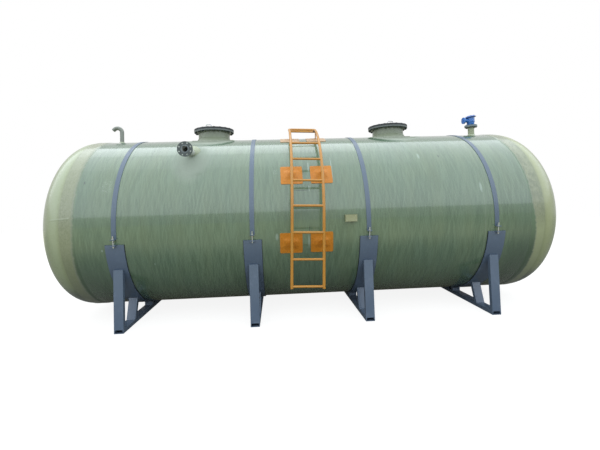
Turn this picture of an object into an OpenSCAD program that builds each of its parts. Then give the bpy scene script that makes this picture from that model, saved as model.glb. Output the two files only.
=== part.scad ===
// Horizontal filament-wound storage tank on four steel saddles.
// X runs along the tank, the ladder side is -Y, and the ground is Z = 0.

/* [Shell and ends] */
// Inside diameter of the tank
tank_id = 2500; // [2300:20:3000]
// Wall thickness of the wound shell and of both ends
shell_t = 14; // [8:1:20]
// Length of the wound cylinder between its two joints
shell_l = 6220; // [5180:20:7500]
// Straight skirt on each moulded end
skirt_l = 80; // [60:5:140]
// Radius of the crown of each end, over the outside
crown_r = 2850; // [2375:5:3420]
// Radius of the knuckle of each end, over the outside
knuckle_r = 340; // [284:1:408]
// Width of the laminate wrapped over each joint
band_w = 140; // [100:5:200]
// Thickness of that laminate
band_t = 5; // [3:1:8]

/* [Manways] */
// Distance of each manway from the middle of the tank
manway_x = [-1447, 1508];
// Bore of a manway
manway_bore = 492; // [400:4:592]
// Wall of a manway neck
neck_t = 8; // [6:1:10]
// Height of a manway's flange face above the top of the shell
manway_rise = 169; // [141:1:210]
// Width of the flange beyond the neck
flange_lip = 68.5; // [57:0.5:82]
// Thickness of the manway flange
flange_t = 24; // [20:1:29]
// Thickness of the blind cover
cover_t = 26; // [22:1:31]
// Number of bolts in a cover
cover_bolts = 20; // [12:4:28]
// Diameter of the bolt holes in flange and cover
cover_hole_d = 22; // [18:1:26]
// Distance of the bolt circle from the neck's outer wall
cover_bolt_out = 46; // [38:1:55]
// Width of the laminate that spreads from the neck over the shell
pad_w = 110; // [80:5:150]
// Thickness of that laminate
pad_t = 7; // [4:1:9]
// Height of the fillet at the foot of the neck
fillet_h = 38; // [25:1:50]
// Distance of each cover's lifting handle from the middle of its cover
handle_out = [-90, 55];
// Width between the legs of the lifting handle
handle_w = 90; // [75:5:110]
// Height of the lifting handle
handle_h = 100; // [80:5:125]
// Diameter of the handle's bar
handle_d = 14; // [11:1:17]

/* [Side nozzle] */
// Distance of the side nozzle from the middle of the tank
side_x = -1613; // [-1900:1:-1400]
// Angle above the middle line at which the side nozzle leaves the shell
side_a = 49.8; // [41.5:0.1:58]
// Length of the side nozzle from the shell to its flange face
side_len = 414; // [345:1:497]
// Bore of the side nozzle
side_bore = 80; // [65:1:96]
// Wall of the nozzle's neck
side_t = 8; // [5:1:10]
// Outside diameter of the flange
side_flange_d = 200; // [190:1:240]
// Thickness of the flange
side_flange_t = 24; // [18:1:30]
// Diameter of the bolt circle
side_pcd = 160; // [150:1:170]
// Number of bolt holes
side_holes = 8; // [4:4:8]
// Diameter of the bolt holes
side_hole_d = 18; // [14:1:20]

/* [Vent] */
// Distance of the vent from the left joint
vent_inset = 152; // [127:1:182]
// Outside diameter of the vent pipe
vent_od = 63; // [52:1:76]
// Wall of the vent pipe
vent_t = 4; // [3:1:6]
// Height of the straight pipe above the top of the shell
vent_rise = 190; // [158:1:230]
// Radius of the bend, at the pipe's centre
vent_bend_r = 72; // [60:1:90]
// How far the bend turns over
vent_turn = 132; // [90:1:180]
// Straight end beyond the bend
vent_tail = 26; // [15:1:40]

/* [Breather valve] */
// Distance of the valve from the right joint
valve_inset = 118; // [100:1:142]
// Outside diameter of the nozzle under the valve
valve_neck_od = 100; // [84:1:120]
// Bore of that nozzle
valve_bore = 80; // [67:1:83]
// Height of the nozzle's flange face above the top of the shell
valve_rise = 178; // [148:1:214]
// Outside diameter of the flanges
valve_flange_d = 200; // [167:1:240]
// Thickness of the nozzle flange
valve_flange_t = 20; // [16:1:24]
// Thickness of the valve's own flange
valve_foot_t = 14; // [12:1:17]
// Number of bolts in the valve's flanges
valve_bolts = 8; // [4:4:12]
// Diameter of their holes
valve_hole_d = 18; // [15:1:21]
// Distance of the holes' circle from the flange's rim
valve_bolt_in = 20; // [17:1:24]
// Diameter of the valve's body at the lid
valve_body_d = 128; // [122:1:153]
// Height of the body above its flange
valve_body_h = 150; // [126:1:180]
// Diameter of the lid
valve_lid_d = 170; // [155:1:204]
// Tilt of the lid
valve_lid_tilt = 8; // [0:1:10]
// Diameter of the side port's arm
port_d = 64; // [54:1:70]
// Distance from the body's axis to the end of the side port
port_reach = 134; // [112:1:160]
// Diameter of the disc that closes the side port
port_disc_d = 112; // [94:1:134]
// Thickness of that disc
port_disc_t = 20; // [14:1:26]

/* [Hold-down straps] */
// Width of a strap
strap_w = 60; // [50:5:75]
// Thickness of a strap
strap_t = 6; // [4:1:8]
// Angle below the middle line at which the hook bolts pull
bolt_a = 9.4; // [7.9:0.1:11.2]
// Length of strap bolt between the two lugs
bolt_gap = 70; // [59:1:84]
// Diameter of the strap bolts
bolt_d = 16; // [12:1:20]
// Length of each hook bolt above its upper nut
bolt_tail = 30; // [25:1:36]
// Reach of a lug beyond the shell
lug_reach = 56; // [50:1:68]
// Thickness of a lug
lug_t = 8; // [6:1:10]
// Width of a lug
lug_w = 56; // [46:1:60]

/* [Saddles] */
// Distance of the end saddles from the joints
saddle_inset = 600; // [500:10:720]
// Distance of the inner saddles from the middle of the tank
saddle_inner_x = 766; // [640:1:920]
// Width of the curved cradle plate
cradle_w = 236; // [196:2:284]
// Thickness of the cradle plate
cradle_t = 10; // [8:1:14]
// Thickness of the rubber liner under the shell
liner_t = 5; // [3:1:8]
// How far the liner stands out beyond the cradle
liner_out = 5; // [2:1:8]
// Gap below the cradle, over the base channel
belly_gap = 58; // [48:1:80]
// Width of the rolled channels
channel_w = 120; // [100:2:144]
// Depth of the channels
channel_d = 53; // [44:1:64]
// Web thickness of the channels
web_t = 5.5; // [4.5:0.5:7]
// Flange thickness of the channels
chord_t = 9; // [7:0.5:11]
// Thickness of the sole plate that closes each base channel
sole_t = 6; // [5:1:8]
// Angle from straight down to an outer post
post_a = 65; // [55:1:68]
// How far an outer post stops below its meeting with the cradle
post_drop = 36; // [30:1:44]
// Angle from straight down to the head of a strut
strut_a = 34; // [28:1:41]
// Lean of a strut from upright
strut_lean = 17.3; // [14:0.1:21]
// Angle from straight down to an inner post
inner_a = 6.8; // [5.6:0.1:8.2]

/* [Ladder] */
// Distance of the ladder from the middle of the tank
ladder_x = -50; // [-60:1:60]
// Distance between the stile centres
ladder_w = 404; // [336:1:486]
// Lean of the ladder towards the valve end
ladder_lean = 2; // [1.6:0.1:2.4]
// Clear distance from shell to stile centre
ladder_off = 146; // [120:1:176]
// Outside diameter of the stiles
stile_d = 38; // [32:1:46]
// Diameter of the rungs
rung_d = 30; // [25:1:34]
// Distance between rungs
rung_pitch = 337; // [280:1:405]
// Height of the lowest rung below the tank's axis
rung_low = 830; // [760:1:990]
// Number of rungs up to the top
rungs = 8; // [6:1:9]
// How far the stiles run below the lowest rung
stile_foot = 25; // [20:1:30]
// Radius of the corners at the top of the ladder
corner_r = 60; // [50:1:72]
// Extra distance between the two highest rungs
last_gap = 110; // [91:1:132]
// Distance from the last rung to the end bar
top_pitch = 225; // [187:1:270]
// Width of a laminated pad across the tank
patch_w = 295; // [245:1:350]
// Height of a laminated pad around the shell
patch_h = 276; // [230:1:330]
// Thickness of a laminated pad
patch_t = 6; // [4:1:8]
// Corner radius of a laminated pad
patch_r = 18; // [10:1:30]
// Angles above the middle line of the pads
patch_a = [-14, 28, 70];
// Thickness of an arm between pad and stile
arm_t = 10; // [8:1:12]
// Height of an arm
arm_h = 60; // [50:1:72]
// Width of the foot of an arm
arm_foot_w = 130; // [108:1:156]

// Width of a weld bead between tubes
bead_w = 6; // [4:1:8]
// Height of a weld bead
bead_h = 0.6; // [0.4:0.1:1]

/* [Nameplate bracket] */
// Distance of the bracket from the middle of the tank
plate_x = 525; // [440:1:600]
// Width of the bracket
plate_w = 158; // [132:1:190]
// Height of the bracket
plate_h = 92; // [76:1:110]
// Distance of its face from the shell
plate_off = 42; // [35:1:50]
// Thickness of its walls
plate_t = 4; // [3:1:6]

/* [Hidden] */
$fn = 96;
// Facets of a preview circle as large as the shell, so that what sits on it meets it
shell_fn = 360;

fit = 0.3;
shell_r = tank_id / 2 + shell_t;
knuckle_x = shell_r - knuckle_r;
crown_z = skirt_l - sqrt(pow(crown_r - knuckle_r, 2) - knuckle_x * knuckle_x);
knuckle_turn = acos(knuckle_x / (crown_r - knuckle_r));
saddle_x = [-shell_l / 2 + saddle_inset, -saddle_inner_x, saddle_inner_x, shell_l / 2 - saddle_inset];
cradle_in = shell_r + fit + liner_t + fit;
cradle_out = cradle_in + cradle_t;
axis_h = channel_d + belly_gap + cradle_out;
neck_r = manway_bore / 2 + neck_t;
vent_x = vent_inset - shell_l / 2;
valve_x = shell_l / 2 - valve_inset;
side_z = shell_r * sin(side_a);
side_root = shell_r * cos(side_a);
side_y = side_root + side_len;
flange_r = neck_r + flange_lip;
manway_face = shell_r + manway_rise;
valve_face = shell_r + valve_rise;
valve_seat = valve_face + valve_foot_t + valve_body_h;
post_y = cradle_out * sin(post_a);
post_top = axis_h - cradle_out * cos(post_a) - post_drop;
ladder_r = shell_r + ladder_off;
lug_r = shell_r + lug_reach;
lug_top = bolt_gap / 2 + lug_t;
bolt_r = shell_r + (lug_reach + strap_t) / 2 + 4;
strap_end = bolt_a - asin(bolt_gap / 2 / shell_r);
cradle_end = bolt_a + asin((bolt_gap / 2 + 2) / shell_r);
// The ladder and the hook bolts are the widest points, so the origin lies midway between them
front_y = max(ladder_r + stile_d / 2 + bead_h, side_y);
back_y = lug_r * cos(bolt_a) + lug_top * sin(bolt_a);
mid_y = (front_y - back_y) / 2;
// Where each rung sits: a height below the axis on the straight part, then an angle on the curve
rung_s = [for (i = [0 : rungs - 1]) i * rung_pitch - rung_low + (i == rungs - 1 ? last_gap : 0)];
end_a = (rung_s[rungs - 1] + top_pitch - corner_r) / ladder_r * 180 / PI;

frp = [0.62, 0.70, 0.56];
frp_joint = [0.66, 0.68, 0.47];
steel_blue = [0.36, 0.42, 0.49];
dark_flange = [0.16, 0.20, 0.20];
valve_blue = [0.16, 0.34, 0.68];
safety_orange = [0.85, 0.50, 0.12];
rubber_black = [0.07, 0.07, 0.07];

// Places children about the tank's axis
module on_axis() {
    translate([0, mid_y, axis_h]) children();
}

// Places children about the middle of the ground
module on_ground() {
    translate([0, mid_y, 0]) children();
}

// Solid round bar along X, centred
module rod_x(r, l) {
    rotate([0, 90, 0]) cylinder(r = r, h = l, center = true, $fn = r > 600 ? shell_fn : $fn);
}

// Tube around the tank's axis
module hoop(r_in, r_out, w) {
    difference() {
        rod_x(r_out, w);
        rod_x(r_in, w + 2);
    }
}

// The tank's outer skin with its two joint laminates, to cut what stands on it
module skin() {
    rod_x(shell_r + fit, shell_l);
    for (s = [-1, 1]) translate([s * shell_l / 2, 0, 0])
        rod_x(shell_r + 2 * fit + band_t, band_w + 2 * fit);
}

// Turns children so that -Y points outwards at this angle above the front middle line
module at_angle(a) {
    rotate([-a, 0, 0]) children();
}

// Repeats children on the front and on the back
module both_sides() {
    children();
    mirror([0, 1, 0]) children();
}

// Repeats children at the left and the right of X = 0
module both_stiles() {
    for (s = [-1, 1]) translate([s * ladder_w / 2, 0, 0]) children();
}

// ---- Shell and ends ----

// Half outline of a dished end, drawn in by an inset: a straight skirt, a knuckle and a crown
module dish(inset) {
    r = knuckle_r - inset;
    c = crown_r - inset;
    join_z = skirt_l + r * sin(knuckle_turn);
    square([shell_r - inset, skirt_l]);
    intersection() {
        union() {
            translate([knuckle_x, skirt_l]) circle(r, $fn = shell_fn);
            translate([0, skirt_l]) square([knuckle_x, r]);
        }
        translate([0, skirt_l]) square([shell_r, join_z - skirt_l]);
    }
    intersection() {
        translate([0, crown_z]) circle(c, $fn = shell_fn);
        translate([0, join_z]) square([shell_r, c]);
    }
}

module shell() {
    color(frp) on_axis() difference() {
        rod_x(shell_r, shell_l);
        rod_x(tank_id / 2, shell_l + 2);
        for (x = manway_x) translate([x, 0, 0]) cylinder(d = manway_bore, h = shell_r + 10);
        translate([vent_x, 0, 0]) cylinder(d = vent_od - 2 * vent_t, h = shell_r + 10);
        translate([valve_x, 0, 0]) cylinder(d = valve_bore, h = shell_r + 10);
        translate([side_x, 0, side_z]) rotate([90, 0, 0]) cylinder(d = side_bore, h = shell_r);
    }
}

module dome() {
    rotate([0, 90, 0]) rotate_extrude($fn = shell_fn) difference() {
        dish(0);
        translate([0, -1]) square([tank_id / 2, 1.5]);
        dish(shell_t);
    }
}

module left_dome() {
    color(frp_joint) on_axis() translate([-shell_l / 2, 0, 0]) mirror([1, 0, 0]) dome();
}

module right_dome() {
    color(frp_joint) on_axis() translate([shell_l / 2, 0, 0]) dome();
}

module joint_band(side) {
    color(frp_joint) on_axis() translate([side * shell_l / 2, 0, 0])
        hoop(shell_r + fit, shell_r + fit + band_t, band_w);
}

// ---- Manways ----

module manway_neck(i) {
    color(frp_joint) on_axis() difference() {
        translate([manway_x[i], 0, 0]) cylinder(r = neck_r, h = manway_face);
        translate([manway_x[i], 0, -1]) cylinder(d = manway_bore, h = manway_face + 2);
        rod_x(shell_r + fit, shell_l);
    }
}

module bolt_ring(pcd, d, n, h) {
    for (i = [0 : n - 1]) rotate([0, 0, (i + 0.5) * 360 / n])
        translate([pcd / 2, 0, -1]) cylinder(d = d, h = h + 2, $fn = 24);
}

module manway_flange(i) {
    color(dark_flange) on_axis() translate([manway_x[i], 0, manway_face - flange_t]) difference() {
        cylinder(r = flange_r, h = flange_t);
        translate([0, 0, -1]) cylinder(r = neck_r + fit, h = flange_t + 2);
        bolt_ring(2 * (neck_r + cover_bolt_out), cover_hole_d, cover_bolts, flange_t);
    }
}

module manway_cover(i) {
    color(dark_flange) on_axis() translate([manway_x[i], 0, manway_face]) difference() {
        cylinder(r = flange_r, h = cover_t);
        bolt_ring(2 * (neck_r + cover_bolt_out), cover_hole_d, cover_bolts, cover_t);
    }
}

module handle() {
    bend_r = handle_w / 4;
    for (s = [-1, 1]) {
        translate([s * handle_w / 2, 0, 0]) cylinder(d = handle_d, h = handle_h - bend_r, $fn = 24);
        translate([s * (handle_w / 2 - bend_r), 0, handle_h - bend_r]) rotate([90, 0, 0])
            rotate([0, 0, s < 0 ? 90 : 0]) rotate_extrude(angle = 90) translate([bend_r, 0])
                circle(d = handle_d, $fn = 24);
    }
    translate([0, 0, handle_h]) rotate([0, 90, 0])
        cylinder(d = handle_d, h = handle_w - 2 * bend_r, center = true, $fn = 24);
}

module manway_handles() {
    color(steel_blue) on_axis() for (i = [0, 1])
        translate([manway_x[i] + handle_out[i], 0, manway_face + cover_t]) handle();
}

module manway_pads() {
    color(frp_joint) on_axis() for (x = manway_x) difference() {
        union() {
            intersection() {
                translate([x, 0, 0]) cylinder(r = neck_r + pad_w, h = shell_r + 20);
                rod_x(shell_r + fit + pad_t, shell_l);
            }
            translate([x, 0, shell_r - 2 * fillet_h])
                cylinder(r1 = neck_r + 2 * fillet_h, r2 = neck_r + 4, h = 3 * fillet_h);
        }
        rod_x(shell_r + fit, shell_l);
        translate([x, 0, 0]) cylinder(r = neck_r + fit, h = manway_face);
    }
}

// ---- Nozzles ----

module side_nozzle_neck() {
    color(frp_joint) on_axis() difference() {
        translate([side_x, 0, side_z]) rotate([90, 0, 0]) cylinder(d = side_bore + 2 * side_t, h = side_y);
        translate([side_x, 1, side_z]) rotate([90, 0, 0]) cylinder(d = side_bore, h = side_y + 2);
        skin();
    }
}

module side_nozzle_flange() {
    color(dark_flange) on_axis()
        translate([side_x, side_flange_t - side_y, side_z]) rotate([90, 0, 0]) difference() {
            cylinder(d = side_flange_d, h = side_flange_t);
            translate([0, 0, -1]) cylinder(d = side_bore + 2 * (side_t + fit), h = side_flange_t + 2);
            bolt_ring(side_pcd, side_hole_d, side_holes, side_flange_t);
        }
}

// Path of the vent pipe: up, over and down
module vent_run(d, tail) {
    top = shell_r + vent_rise;
    translate([vent_x, 0, 0]) cylinder(d = d, h = top, $fn = 48);
    translate([vent_x, 0, top]) bead(d);
    translate([vent_x - vent_bend_r, 0, top]) rotate([90, 0, 0]) {
        rotate_extrude(angle = vent_turn) translate([vent_bend_r, 0]) circle(d = d, $fn = 48);
        rotate([0, 0, vent_turn]) translate([vent_bend_r, 0, 0]) rotate([-90, 0, 0]) {
            bead(d);
            cylinder(d = d, h = tail, $fn = 48);
        }
    }
}

module vent_gooseneck() {
    color(frp_joint) on_axis() difference() {
        vent_run(vent_od, vent_tail);
        vent_run(vent_od - 2 * vent_t, vent_tail + 1);
        skin();
    }
}

// Laminate cone at the foot of an upright nozzle
module collar(x, d) {
    difference() {
        translate([x, 0, shell_r - 12]) cylinder(d1 = d + 76, d2 = d + 6, h = 42);
        skin();
        translate([x, 0, 0]) cylinder(d = d + 2 * fit, h = shell_r + 100);
    }
}

module nozzle_collars() {
    neck_d = side_bore + 2 * side_t;
    color(frp_joint) on_axis() {
        collar(vent_x, vent_od);
        collar(valve_x, valve_neck_od);
        difference() {
            translate([side_x, 0, side_z]) rotate([90, 0, 0]) translate([0, 0, side_root - 60])
                cylinder(d1 = neck_d + 130, d2 = neck_d + 6, h = 130);
            skin();
            translate([side_x, 0, side_z]) rotate([90, 0, 0]) cylinder(d = neck_d + 2 * fit, h = side_y);
        }
    }
}

module valve_nozzle_neck() {
    color(frp_joint) on_axis() difference() {
        translate([valve_x, 0, 0]) cylinder(d = valve_neck_od, h = valve_face);
        translate([valve_x, 0, -1]) cylinder(d = valve_bore, h = valve_face + 2);
        skin();
    }
}

// Holes for the valve's bolts, through a flange that stands on Z = 0
module valve_holes(t) {
    for (i = [0 : valve_bolts - 1]) rotate([0, 0, (i + 0.5) * 360 / valve_bolts])
        translate([valve_flange_d / 2 - valve_bolt_in, 0, -1]) cylinder(d = valve_hole_d, h = t + 2, $fn = 48);
}

module valve_nozzle_flange() {
    color(dark_flange) on_axis() translate([valve_x, 0, valve_face - valve_flange_t]) difference() {
        cylinder(d = valve_flange_d, h = valve_flange_t);
        translate([0, 0, -1]) cylinder(d = valve_neck_od + 2 * fit, h = valve_flange_t + 2);
        valve_holes(valve_flange_t);
    }
}

// Cast body: a round foot, a waist, and a wider seat for the lid
module valve_body() {
    r = valve_body_d / 2;
    h = valve_foot_t + valve_body_h;
    color(valve_blue) on_axis() translate([valve_x, 0, valve_face]) difference() {
        union() {
            cylinder(d = valve_flange_d, h = valve_foot_t);
            translate([0, 0, valve_foot_t]) cylinder(r1 = r * 0.78, r2 = r, h = valve_body_h * 0.4);
            translate([0, 0, valve_foot_t + valve_body_h * 0.4]) cylinder(r = r, h = valve_body_h * 0.6);
        }
        valve_holes(valve_foot_t - 1);
        translate([0, 0, -1]) cylinder(d = valve_bore, h = valve_foot_t + 1 + valve_body_h * 0.4);
        translate([0, 0, valve_foot_t + valve_body_h * 0.4 - 1]) cylinder(r = r - 10, h = h);
        translate([-r, 0, h - valve_body_h * 0.44]) rod_x(port_d / 2 - 8, r);
        translate([0, 0, h]) rotate([0, -valve_lid_tilt, 0])
            translate([-valve_lid_d, -valve_lid_d, 0]) cube([2 * valve_lid_d, 2 * valve_lid_d, valve_lid_d]);
    }
}

// Round hood over the pressure seat, turned by one profile
module valve_lid() {
    r = valve_lid_d / 2;
    color(valve_blue) on_axis() translate([valve_x, 0, valve_seat]) rotate([0, -valve_lid_tilt, 0])
        translate([0, 0, fit]) rotate_extrude() polygon([
            [0, 0], [valve_body_d / 2 + 6, 0], [valve_body_d / 2 + 6, -8], [r - 5, -14], [r, -12],
            [r, -2], [r * 0.78, 12], [r * 0.4, 22], [0, 26]
        ]);
}

module valve_side_port() {
    z = valve_seat - valve_body_h * 0.44;
    color(valve_blue) on_axis() translate([valve_x, 0, z]) difference() {
        union() {
            translate([-port_reach / 2, 0, 0]) rod_x(port_d / 2, port_reach);
            translate([port_disc_t / 2 - port_reach, 0, 0]) rod_x(port_disc_d / 2, port_disc_t);
        }
        translate([-port_reach / 2 + port_disc_t, 0, 0]) rod_x(port_d / 2 - 8, port_reach);
        translate([0, 0, -valve_body_h]) cylinder(d = valve_body_d + 2 * fit, h = 2 * valve_body_h);
    }
}

// ---- Straps and hook bolts ----

// Lug across the tank at a height along the bolt
module lug(z, r_in) {
    difference() {
        at_angle(-bolt_a) difference() {
            translate([-lug_w / 2, -lug_r, z]) cube([lug_w, lug_reach + 20, lug_t]);
            translate([0, -bolt_r, z - 1]) cylinder(d = bolt_d + 2 * fit, h = lug_t + 2, $fn = 32);
        }
        rod_x(r_in, lug_w + 2);
    }
}

module strap(i) {
    keep = shell_r + 100;
    color(steel_blue) on_axis() translate([saddle_x[i], 0, 0]) {
        difference() {
            hoop(shell_r + fit, shell_r + fit + strap_t, strap_w);
            both_sides() at_angle(-strap_end) translate([-strap_w, -keep, -2 * keep])
                cube([2 * strap_w, keep, 2 * keep]);
        }
        both_sides() lug(bolt_gap / 2, shell_r + fit);
    }
}

module hook_bolt() {
    nut_h = bolt_d * 0.8;
    nut_d = bolt_d * 1.75;
    reach = bolt_gap / 2 + lug_t + nut_h + 12;
    at_angle(-bolt_a) translate([0, -bolt_r, 0]) {
        translate([0, 0, -reach]) cylinder(d = bolt_d, h = 2 * reach + bolt_tail - 12, $fn = 32);
        translate([0, 0, bolt_gap / 2 + lug_t]) cylinder(d = nut_d, h = nut_h, $fn = 6);
        translate([0, 0, -bolt_gap / 2 - lug_t - nut_h]) cylinder(d = nut_d, h = nut_h, $fn = 6);
    }
}

module strap_bolts() {
    color("silver") on_axis() for (x = saddle_x) translate([x, 0, 0]) both_sides() hook_bolt();
}

// ---- Saddles ----

// Curved sheet that wraps under the tank
module sling(r_in, r_out, w) {
    keep = r_out + 100;
    difference() {
        hoop(r_in, r_out, w);
        translate([-w, -keep, 0]) cube([2 * w, 2 * keep, keep]);
        both_sides() at_angle(-cradle_end) translate([-w, -keep, 0]) cube([2 * w, keep, keep]);
    }
}

module cradle(i) {
    color(steel_blue) on_axis() translate([saddle_x[i], 0, 0]) {
        sling(cradle_in, cradle_out, cradle_w);
        both_sides() lug(-bolt_gap / 2 - lug_t, cradle_in);
    }
}

module cradle_liners() {
    color(rubber_black) on_axis() for (x = saddle_x) translate([x, 0, 0])
        sling(shell_r + fit, shell_r + fit + liner_t, cradle_w + 2 * liner_out);
}

// Rolled channel along Z: its web's face lies on -Y
module channel(l) {
    h = channel_w / 2;
    linear_extrude(l) polygon([
        [-h, 0], [h, 0], [h, channel_d], [h - chord_t * 0.75, channel_d], [h - chord_t * 1.25, web_t + 6],
        [h - chord_t * 1.25 - 6, web_t], [-h + chord_t * 1.25 + 6, web_t], [-h + chord_t * 1.25, web_t + 6],
        [-h + chord_t * 0.75, channel_d], [-h, channel_d]
    ]);
}

// Channel laid with its open side down on a sole plate
module base_channel(i) {
    color(steel_blue) on_ground() translate([saddle_x[i], 0, 0]) {
        translate([0, post_y, channel_d]) rotate([90, 0, 0]) mirror([0, 1, 0]) channel(2 * post_y);
        translate([-channel_w / 2, -post_y, 0]) cube([channel_w, 2 * post_y, sole_t]);
    }
}

// Keeps what lies between the base channel and the cradle
module under_cradle() {
    difference() {
        children();
        translate([0, 0, axis_h]) rod_x(cradle_out + fit, 2 * channel_w);
    }
}

module outer_post() {
    cap_t = 6;
    under_cradle() translate([0, -post_y, channel_d]) {
        channel(post_top - channel_d - cap_t);
        translate([-channel_w / 2, 0, post_top - channel_d - cap_t]) cube([channel_w, channel_d, cap_t]);
    }
}

module strut() {
    head_z = axis_h - cradle_out * cos(strut_a);
    difference() {
        under_cradle() translate([0, -cradle_out * sin(strut_a), head_z]) rotate([-strut_lean, 0, 0])
            translate([0, 0, -2 * head_z]) channel(2 * head_z + 40);
        translate([-channel_w, -cradle_out, -4 * head_z + channel_d])
            cube([2 * channel_w, cradle_out, 4 * head_z]);
    }
}

module inner_post() {
    under_cradle() translate([0, -cradle_out * sin(inner_a), channel_d]) channel(belly_gap + 40);
}

module saddle_legs(i) {
    color(steel_blue) on_ground() translate([saddle_x[i], 0, 0]) both_sides() {
        outer_post();
        strut();
        inner_post();
    }
}

// ---- Ladder ----

// Places children on the ladder's centre line, s along it from the level of the tank's axis
module along_ladder(s) {
    if (s < 0) translate([0, -ladder_r, s]) children();
    else at_angle(s / ladder_r * 180 / PI) translate([0, -ladder_r, 0]) children();
}

// Weld bead around a tube that runs along Z
module bead(d) {
    cylinder(d = d + 2 * bead_h, h = bead_w, center = true, $fn = 48);
}

// One stile: a straight lower length and a bend that follows the shell
module stile(d) {
    low = -rung_low - stile_foot;
    translate([0, -ladder_r, low]) cylinder(d = d, h = -low, $fn = 48);
    translate([0, -ladder_r, 0]) bead(d);
    rotate([90, 0, -90]) rotate_extrude(angle = end_a) translate([ladder_r, 0]) circle(d = d, $fn = 48);
}

// Rounded corners and the bar that closes the top of the ladder
module ladder_top(d) {
    for (s = [0, 1]) mirror([s, 0, 0]) {
        translate([ladder_w / 2, 0, 0]) bead(d);
        translate([ladder_w / 2 - corner_r, 0, 0]) rotate([90, 0, 0])
            rotate_extrude(angle = 90) translate([corner_r, 0]) circle(d = d, $fn = 48);
        translate([ladder_w / 2 - corner_r, 0, corner_r]) rotate([0, 90, 0]) bead(d);
    }
    translate([0, 0, corner_r]) rotate([0, 90, 0])
        cylinder(d = d, h = ladder_w - 2 * corner_r, center = true, $fn = 48);
}

// Puts the ladder's middle in place and leans it
module leaning() {
    translate([ladder_x, 0, 0]) rotate([0, ladder_lean, 0]) children();
}

module ladder_stiles() {
    color(safety_orange) on_axis() leaning() {
        both_stiles() stile(stile_d);
        at_angle(end_a) translate([0, -ladder_r, 0]) ladder_top(stile_d);
    }
}

module rung() {
    difference() {
        rotate([0, 90, 0]) cylinder(d = rung_d, h = ladder_w, center = true, $fn = 48);
        both_stiles() translate([0, 0, -stile_d]) cylinder(d = stile_d + 2 * fit, h = 2 * stile_d, $fn = 48);
    }
}

module ladder_rungs() {
    color(safety_orange) on_axis() leaning() for (s = rung_s) along_ladder(s) rung();
}

// Outline of a pad: a rectangle with round corners
module patch_outline() {
    square([patch_w - 2 * patch_r, patch_h], center = true);
    square([patch_w, patch_h - 2 * patch_r], center = true);
    for (x = [-1, 1], y = [-1, 1])
        translate([x * (patch_w / 2 - patch_r), y * (patch_h / 2 - patch_r)]) circle(patch_r, $fn = 32);
}

// Height of an arm's centre line where it meets the stile
function arm_z(a) = a < 0 ? shell_r * sin(a) : ladder_r * sin(a);

// Place along the leaning ladder where the stile on side s passes that height
function arm_s(a, s) = let (z = (arm_z(a) + s * ladder_w / 2 * sin(ladder_lean)) / cos(ladder_lean))
    a < 0 ? z : ladder_r * asin(z / ladder_r) * PI / 180;

// Moves the middle of a pair of arms and pads to where the leaning ladder passes them
module arm_place(a) {
    translate([ladder_x + arm_z(a) * tan(ladder_lean), 0, 0]) children();
}

module ladder_pads() {
    color(safety_orange) on_axis() for (a = patch_a) arm_place(a) both_stiles()
        intersection() {
            hoop(shell_r + fit, shell_r + fit + patch_t, patch_w + 2);
            at_angle(a) rotate([90, 0, 0]) linear_extrude(shell_r + 40) patch_outline();
        }
}

// Arm between a pad and a stile: level on the straight part, square to the shell above it
module ladder_arm(a) {
    foot = shell_r + 2 * fit + patch_t;
    lift = a < 0 ? arm_z(a) : 0;
    difference() {
        at_angle(max(a, 0)) translate([0, 0, lift]) {
            translate([-arm_t / 2, -ladder_r, -arm_h / 2]) cube([arm_t, ladder_off + 60, arm_h]);
            intersection() {
                translate([-arm_foot_w / 2, -ladder_r, -arm_h / 2]) cube([arm_foot_w, ladder_r, arm_h]);
                translate([0, 0, -lift]) rod_x(foot + 8, arm_foot_w + 2);
            }
        }
        rod_x(foot, arm_foot_w + 2);
    }
}

module ladder_arms() {
    color(safety_orange) on_axis() difference() {
        for (a = patch_a) arm_place(a) both_stiles() ladder_arm(a);
        for (a = patch_a, s = [-1, 1]) leaning() along_ladder(arm_s(a, s))
            translate([s * ladder_w / 2, 0, -arm_h])
                cylinder(d = stile_d + 4 * fit, h = 2 * arm_h, $fn = 48);
    }
}

// ---- Nameplate bracket ----

module nameplate_bracket() {
    color(frp_joint) on_axis() translate([plate_x, 0, 0]) difference() {
        translate([-plate_w / 2, -shell_r - plate_off, -plate_h / 2])
            cube([plate_w, plate_off + 20, plate_h]);
        translate([-plate_w / 2 + plate_t, -shell_r - plate_off + plate_t, -plate_h / 2 - 1])
            cube([plate_w - 2 * plate_t, plate_off + 20, plate_h + 2]);
        rod_x(shell_r + fit, plate_w + 2);
    }
}

shell();
left_dome();
right_dome();
joint_band(-1);  // left_joint_band
joint_band(1);  // right_joint_band
manway_neck(0);  // left_manway_neck
manway_neck(1);  // right_manway_neck
manway_flange(0);  // left_manway_flange
manway_flange(1);  // right_manway_flange
manway_cover(0);  // left_manway_cover
manway_cover(1);  // right_manway_cover
manway_handles();
manway_pads();
side_nozzle_neck();
side_nozzle_flange();
vent_gooseneck();
nozzle_collars();
valve_nozzle_neck();
valve_nozzle_flange();
valve_body();
valve_lid();
valve_side_port();
strap(0);  // strap_1
strap(1);  // strap_2
strap(2);  // strap_3
strap(3);  // strap_4
strap_bolts();
cradle(0);  // cradle_1
cradle(1);  // cradle_2
cradle(2);  // cradle_3
cradle(3);  // cradle_4
cradle_liners();
base_channel(0);  // base_channel_1
base_channel(1);  // base_channel_2
base_channel(2);  // base_channel_3
base_channel(3);  // base_channel_4
saddle_legs(0);  // saddle_legs_1
saddle_legs(1);  // saddle_legs_2
saddle_legs(2);  // saddle_legs_3
saddle_legs(3);  // saddle_legs_4
ladder_stiles();
ladder_rungs();
ladder_pads();
ladder_arms();
nameplate_bracket();
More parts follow.
